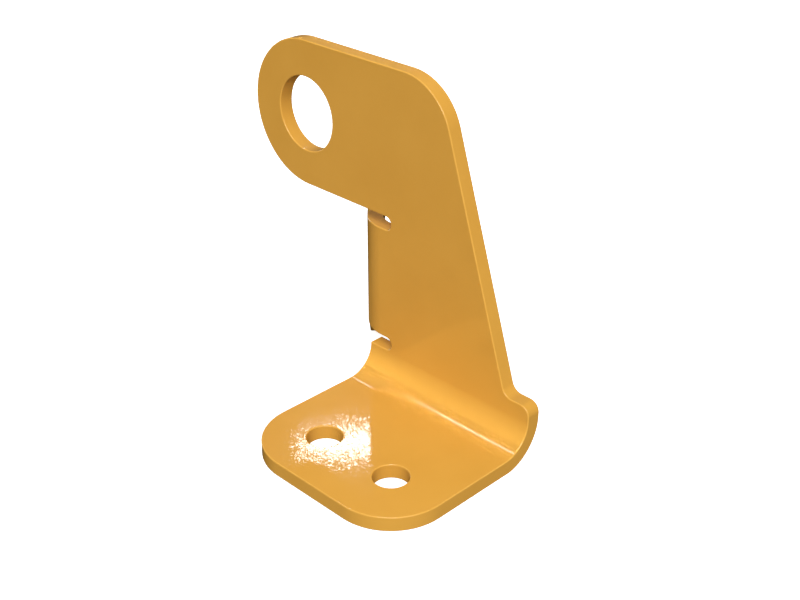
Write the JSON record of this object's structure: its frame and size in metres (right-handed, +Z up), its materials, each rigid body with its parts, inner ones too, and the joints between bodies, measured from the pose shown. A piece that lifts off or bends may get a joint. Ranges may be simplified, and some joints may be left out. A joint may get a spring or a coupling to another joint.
{
  "type": "oil cooler bracket",
  "caption": "Folded sheet-steel bracket: a bolted foot, an upright with an offset arm that ends in a round eye, and a slanted leg bent back to the same mounting plane.",
  "frame": {"origin": "midway between the two bolt holes, on the underside of the foot", "axes": "+Z up from the foot's underside; +X along the line of the bolt holes and of the foot's bend, away from the arm; +Y from the foot towards the upright and the leg; the eye's axis runs along Y"},
  "size_m": [0.125, 0.1104, 0.115],
  "materials": {
    "paint": "smooth satin-gloss enamel"
  },
  "bodies": {
    "root": {"bracket": "paint"}
  },
  "joints": []
}
